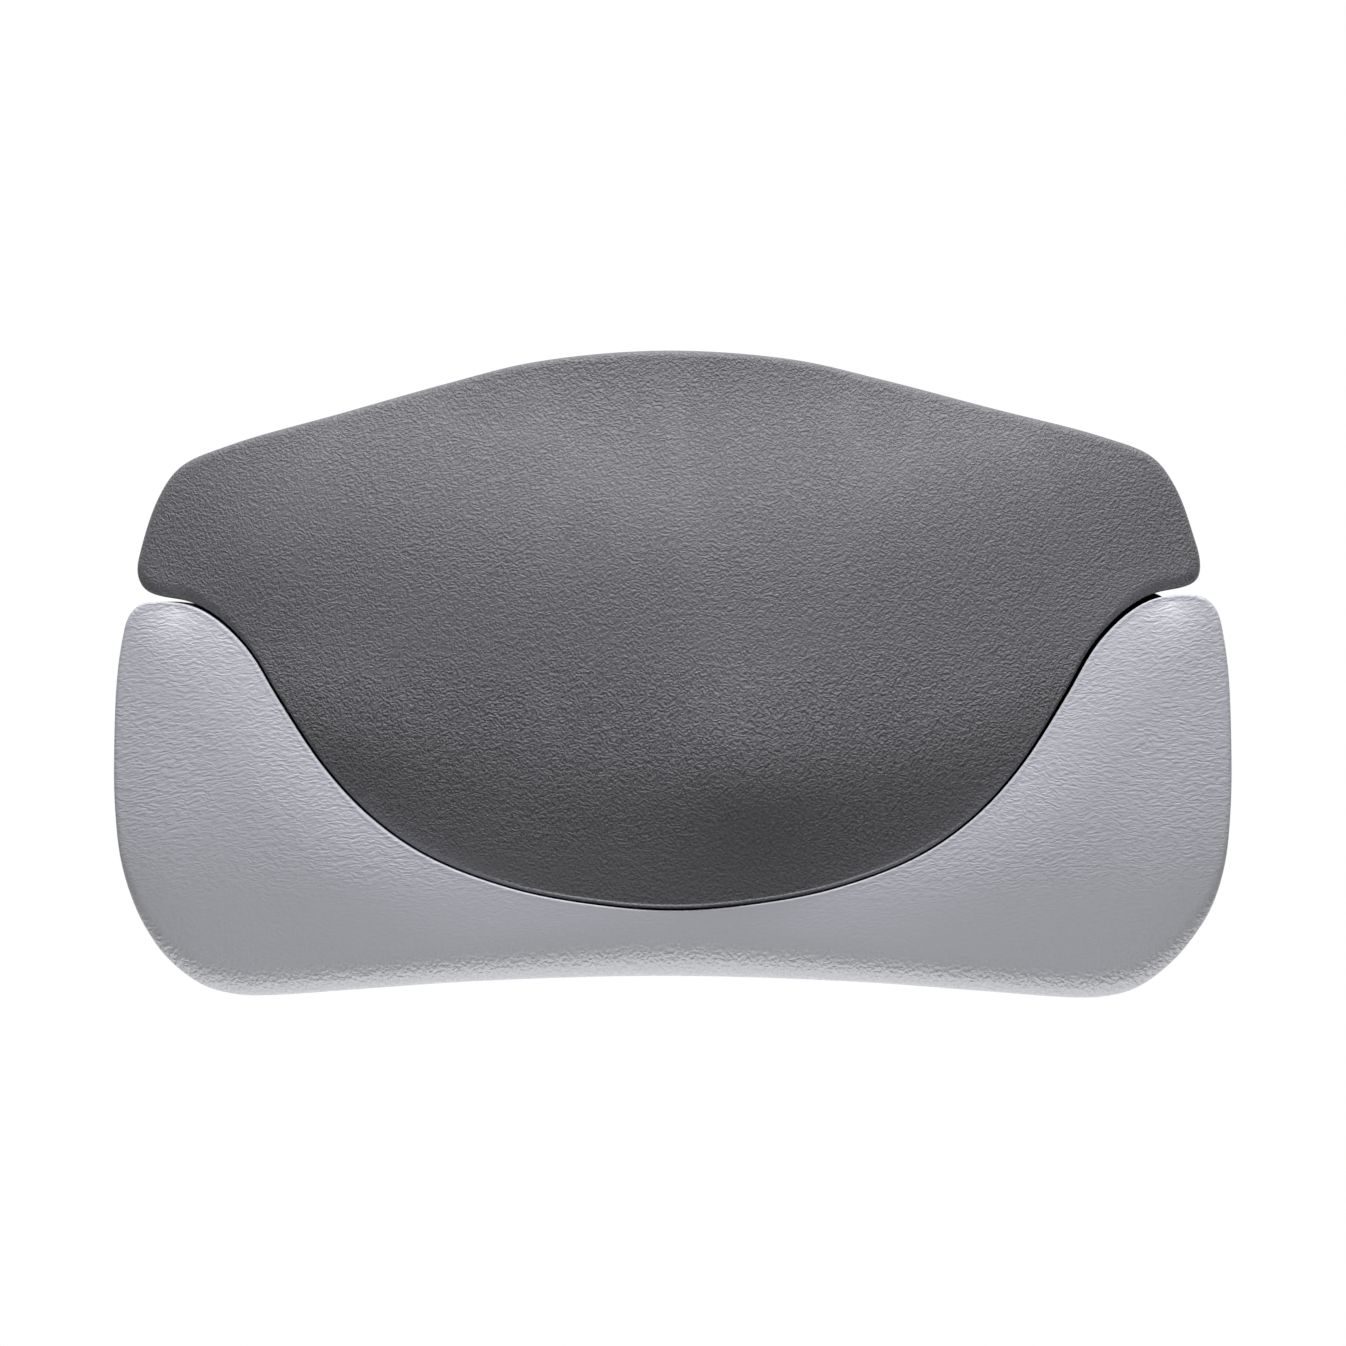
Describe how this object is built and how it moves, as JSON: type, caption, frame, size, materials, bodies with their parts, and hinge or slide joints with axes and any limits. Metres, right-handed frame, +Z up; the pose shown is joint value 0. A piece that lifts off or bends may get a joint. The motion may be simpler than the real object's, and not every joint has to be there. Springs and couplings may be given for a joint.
{
  "type": "bath pillow",
  "caption": "Two-tone moulded bath pillow: a domed head pad nested in a U-shaped neck pad on a carrier plate with suction cups that slide in keyholes.",
  "frame": {"origin": "middle of the wall plane through the four suction cups' lips, level with the middle of the pillow's width and height", "axes": "+X across the pillow to the viewer's right, +Z up the wall, -Y forward from the wall towards the bather"},
  "size_m": [0.3, 0.0671, 0.1735],
  "materials": {
    "head_skin": "matte",
    "neck_skin": "matte",
    "foam": "matte",
    "insert_plastic": "matte",
    "carrier_plastic": "satin",
    "cup_vinyl": "gloss",
    "screw_steel": "satin"
  },
  "bodies": {
    "pillow": {"head_pad_cover": "head_skin", "head_pad_foam": "foam", "head_pad_insert": "insert_plastic", "neck_pad_cover": "neck_skin", "neck_pad_foam": "foam", "neck_pad_insert": "insert_plastic", "carrier_plate": "carrier_plastic", "head_screw_1": "screw_steel", "head_screw_2": "screw_steel", "head_screw_3": "screw_steel", "head_screw_4": "screw_steel", "neck_screw_1": "screw_steel", "neck_screw_2": "screw_steel", "neck_screw_3": "screw_steel", "neck_screw_4": "screw_steel"},
    "cup_upper_left": {"cup_upper_left": "cup_vinyl"},
    "cup_upper_right": {"cup_upper_right": "cup_vinyl"},
    "cup_lower_left": {"cup_lower_left": "cup_vinyl"},
    "cup_lower_right": {"cup_lower_right": "cup_vinyl"}
  },
  "joints": [
    {"name": "keyhole_slide_upper_left", "type": "slide", "parent": "pillow", "child": "cup_upper_left", "axis": [1, 0, 0], "range_m": [0, 0.013]},
    {"name": "keyhole_slide_upper_right", "type": "slide", "parent": "pillow", "child": "cup_upper_right", "axis": [-1, 0, 0], "range_m": [0, 0.013]},
    {"name": "keyhole_slide_lower_left", "type": "slide", "parent": "pillow", "child": "cup_lower_left", "axis": [1, 0, 0], "range_m": [0, 0.013]},
    {"name": "keyhole_slide_lower_right", "type": "slide", "parent": "pillow", "child": "cup_lower_right", "axis": [-1, 0, 0], "range_m": [0, 0.013]}
  ]
}
